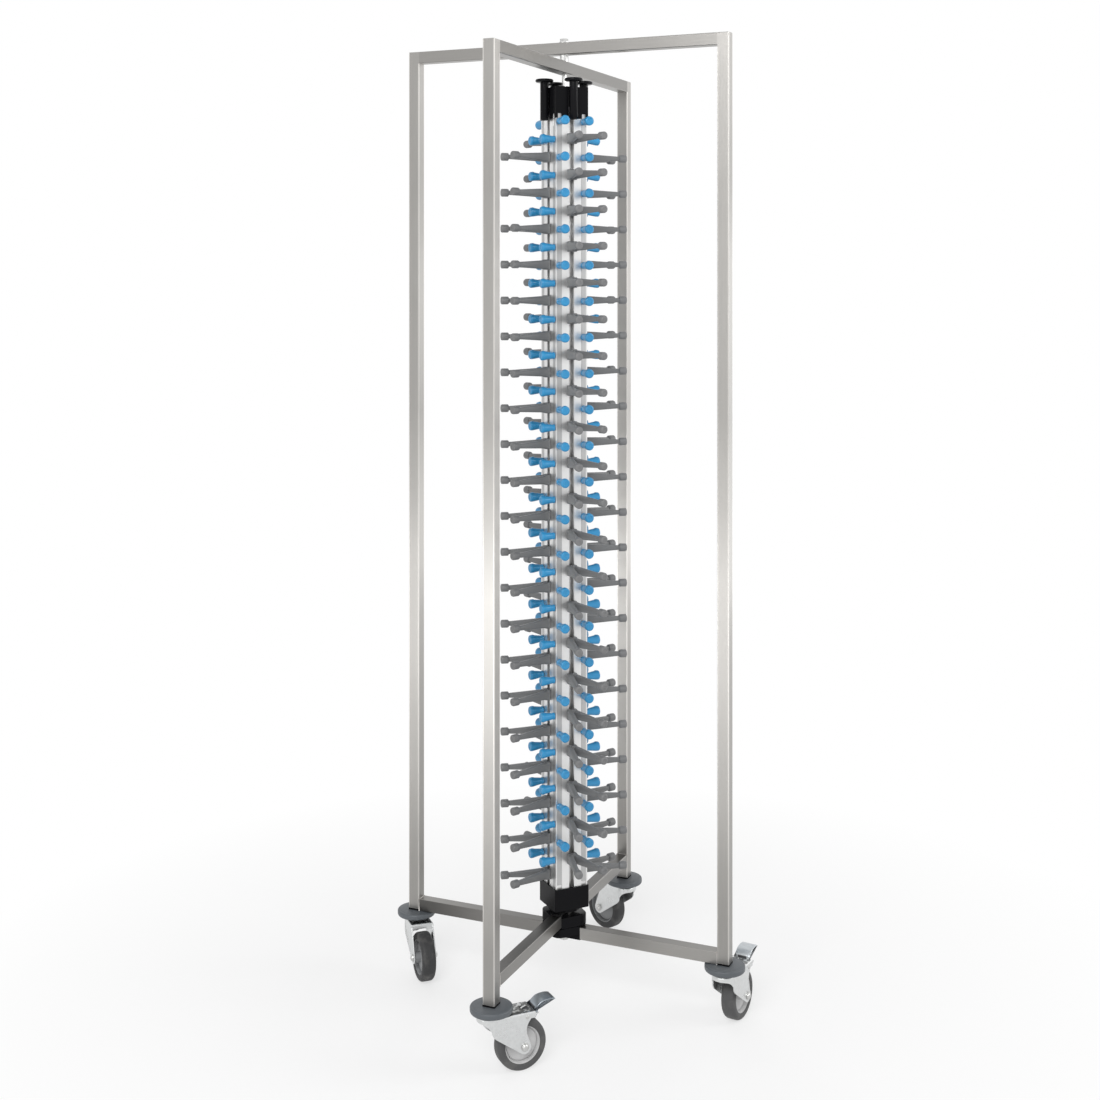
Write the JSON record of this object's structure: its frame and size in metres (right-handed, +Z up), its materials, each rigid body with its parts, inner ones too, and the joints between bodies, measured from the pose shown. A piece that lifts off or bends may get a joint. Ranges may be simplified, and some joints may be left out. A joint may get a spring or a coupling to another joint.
{
  "type": "mobile plate rack",
  "caption": "Folding plate rack on castors: two crossed tube frames round a square mast whose four sides carry stacks of paired rests that hold plates by their edge.",
  "frame": {"origin": "on the floor under the middle of the footprint as it stands; the fold axis is 19 mm to the left (-X) and 16 mm to the front (-Y) of it", "axes": "+Z up along the mast; the mast's four sides face -Y (front), +X (right), +Y (back) and -X (left); the frames stand near the diagonals"},
  "size_m": [0.6492, 0.6434, 2.0075],
  "materials": {
    "stainless": "satin",
    "mast_aluminium": "anodised satin",
    "strip_aluminium": "anodised satin",
    "black_plastic": "moulded, slight sheen",
    "handle_black": "glossy",
    "rest_blue": "moulded satin",
    "rest_grey": "moulded satin",
    "zinc": "bright zinc plate",
    "fastener_steel": "plain",
    "slate_plastic": "moulded matt",
    "tread_rubber": "matt",
    "wheel_grey": "moulded",
    "bush_steel": "turned",
    "plate_steel": "dark plated"
  },
  "bodies": {
    "outer_frame": {"outer_post_rear": "stainless", "outer_post_front": "stainless", "outer_top_bar": "stainless", "outer_bottom_bar": "stainless", "top_pivot_bolt": "fastener_steel", "bottom_pivot_bolt": "fastener_steel", "top_bush": "bush_steel", "bottom_bush": "bush_steel", "hub_block": "black_plastic", "outer_bumpers": "slate_plastic", "outer_swivel_plates": "plate_steel", "outer_stems": "zinc"},
    "inner_frame": {"inner_post_rear": "stainless", "inner_post_front": "stainless", "inner_top_bar": "stainless", "inner_bottom_bar": "stainless", "hub_saddle": "black_plastic", "inner_bumpers": "slate_plastic", "inner_swivel_plates": "plate_steel", "inner_stems": "zinc"},
    "mast": {"mast": "mast_aluminium", "top_cap": "black_plastic", "base_shoe": "black_plastic", "thrust_washer": "black_plastic", "lower_rests_right": "rest_grey", "lower_rests_back": "rest_grey", "lower_rests_left": "rest_grey", "lower_rests_front": "rest_grey"},
    "carrier_right": {"lift_frame_right": "strip_aluminium", "handle_right": "handle_black", "upper_rests_right": "rest_blue"},
    "carrier_back": {"lift_frame_back": "strip_aluminium", "handle_back": "handle_black", "upper_rests_back": "rest_blue"},
    "carrier_left": {"lift_frame_left": "strip_aluminium", "handle_left": "handle_black", "upper_rests_left": "rest_blue"},
    "carrier_front": {"lift_frame_front": "strip_aluminium", "handle_front": "handle_black", "upper_rests_front": "rest_blue"},
    "swivel_rear_left": {"swivel_fork_rear_left": "zinc", "axle_rear_left": "fastener_steel"},
    "wheel_rear_left": {"wheel_centre_rear_left": "wheel_grey", "tyre_rear_left": "tread_rubber"},
    "swivel_front_right": {"swivel_fork_front_right": "zinc", "axle_front_right": "fastener_steel"},
    "wheel_front_right": {"wheel_centre_front_right": "wheel_grey", "tyre_front_right": "tread_rubber"},
    "pedal_front_right": {"brake_pedal_front_right": "zinc"},
    "swivel_front_left": {"swivel_fork_front_left": "zinc", "axle_front_left": "fastener_steel"},
    "wheel_front_left": {"wheel_centre_front_left": "wheel_grey", "tyre_front_left": "tread_rubber"},
    "pedal_front_left": {"brake_pedal_front_left": "zinc"},
    "swivel_rear_right": {"swivel_fork_rear_right": "zinc", "axle_rear_right": "fastener_steel"},
    "wheel_rear_right": {"wheel_centre_rear_right": "wheel_grey", "tyre_rear_right": "tread_rubber"}
  },
  "joints": [
    {"name": "fold", "type": "hinge", "parent": "outer_frame", "child": "inner_frame", "pos_m": [-0.019, -0.016, 1], "axis": [0, 0, 1], "range_deg": [0, 45]},
    {"name": "mast_turn", "type": "hinge", "parent": "outer_frame", "child": "mast", "pos_m": [-0.019, -0.016, 1], "axis": [0, 0, 1], "continuous": true},
    {"name": "lift_right", "type": "slide", "parent": "mast", "child": "carrier_right", "axis": [0, 0, 1], "range_m": [0, 0.01]},
    {"name": "lift_back", "type": "slide", "parent": "mast", "child": "carrier_back", "axis": [0, 0, 1], "range_m": [0, 0.01]},
    {"name": "lift_left", "type": "slide", "parent": "mast", "child": "carrier_left", "axis": [0, 0, 1], "range_m": [0, 0.01]},
    {"name": "lift_front", "type": "slide", "parent": "mast", "child": "carrier_front", "axis": [0, 0, 1], "range_m": [0, 0.01]},
    {"name": "swivel_rear_left", "type": "hinge", "parent": "outer_frame", "child": "swivel_rear_left", "pos_m": [-0.25056, 0.24712, 0.11], "axis": [0, 0, 1], "continuous": true},
    {"name": "roll_rear_left", "type": "hinge", "parent": "swivel_rear_left", "child": "wheel_rear_left", "pos_m": [-0.25539, 0.18831, 0.05], "axis": [0.9966, -0.0819, 0], "continuous": true},
    {"name": "swivel_front_right", "type": "hinge", "parent": "outer_frame", "child": "swivel_front_right", "pos_m": [0.21256, -0.27912, 0.11], "axis": [0, 0, 1], "continuous": true},
    {"name": "roll_front_right", "type": "hinge", "parent": "swivel_front_right", "child": "wheel_front_right", "pos_m": [0.26147, -0.24612, 0.05], "axis": [-0.5592, 0.829, 0], "continuous": true},
    {"name": "brake_front_right", "type": "hinge", "parent": "swivel_front_right", "child": "pedal_front_right", "pos_m": [0.26562, -0.24333, 0.106], "axis": [-0.5592, 0.829, 0], "range_deg": [0, 12]},
    {"name": "swivel_front_left", "type": "hinge", "parent": "inner_frame", "child": "swivel_front_left", "pos_m": [-0.28212, -0.24756, 0.11], "axis": [0, 0, 1], "continuous": true},
    {"name": "roll_front_left", "type": "hinge", "parent": "swivel_front_left", "child": "wheel_front_left", "pos_m": [-0.22312, -0.24797, 0.05], "axis": [0.007, 1, 0], "continuous": true},
    {"name": "brake_front_left", "type": "hinge", "parent": "swivel_front_left", "child": "pedal_front_left", "pos_m": [-0.21812, -0.24801, 0.106], "axis": [0.007, 1, 0], "range_deg": [0, 12]},
    {"name": "swivel_rear_right", "type": "hinge", "parent": "inner_frame", "child": "swivel_rear_right", "pos_m": [0.24412, 0.21556, 0.11], "axis": [0, 0, 1], "continuous": true},
    {"name": "roll_rear_right", "type": "hinge", "parent": "swivel_rear_right", "child": "wheel_rear_right", "pos_m": [0.22785, 0.27227, 0.05], "axis": [-0.9613, -0.2756, 0], "continuous": true}
  ]
}
